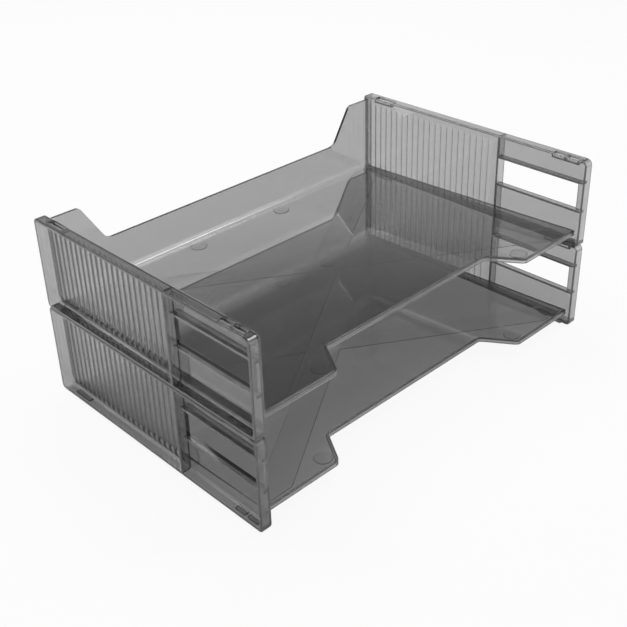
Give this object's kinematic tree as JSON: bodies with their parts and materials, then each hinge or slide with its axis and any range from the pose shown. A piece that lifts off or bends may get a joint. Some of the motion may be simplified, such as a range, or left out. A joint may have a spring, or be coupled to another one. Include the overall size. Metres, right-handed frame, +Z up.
{
  "type": "double letter tray",
  "caption": "Stacked wide-entry letter trays of clear smoke plastic: fluted, windowed side frames, a sloping floor with a finger cut-out and a dipped back wall.",
  "frame": {"origin": "on the surface the stack stands on, under the middle of the trays", "axes": "+X across the entry to the right as seen from the front, +Y from the front to the rear, +Z up"},
  "size_m": [0.35, 0.232, 0.148],
  "materials": {
    "smoke_polystyrene": "clear smoke grey, glossy as moulded"
  },
  "bodies": {
    "lower_tray": {"lower_base": "smoke_polystyrene", "lower_left_side": "smoke_polystyrene", "lower_right_side": "smoke_polystyrene"},
    "upper_tray": {"upper_base": "smoke_polystyrene", "upper_left_side": "smoke_polystyrene", "upper_right_side": "smoke_polystyrene"}
  },
  "joints": [
    {"name": "upper_tray_lift", "type": "slide", "parent": "lower_tray", "child": "upper_tray", "axis": [0, 0, 1], "range_m": [0, 0.09]}
  ]
}
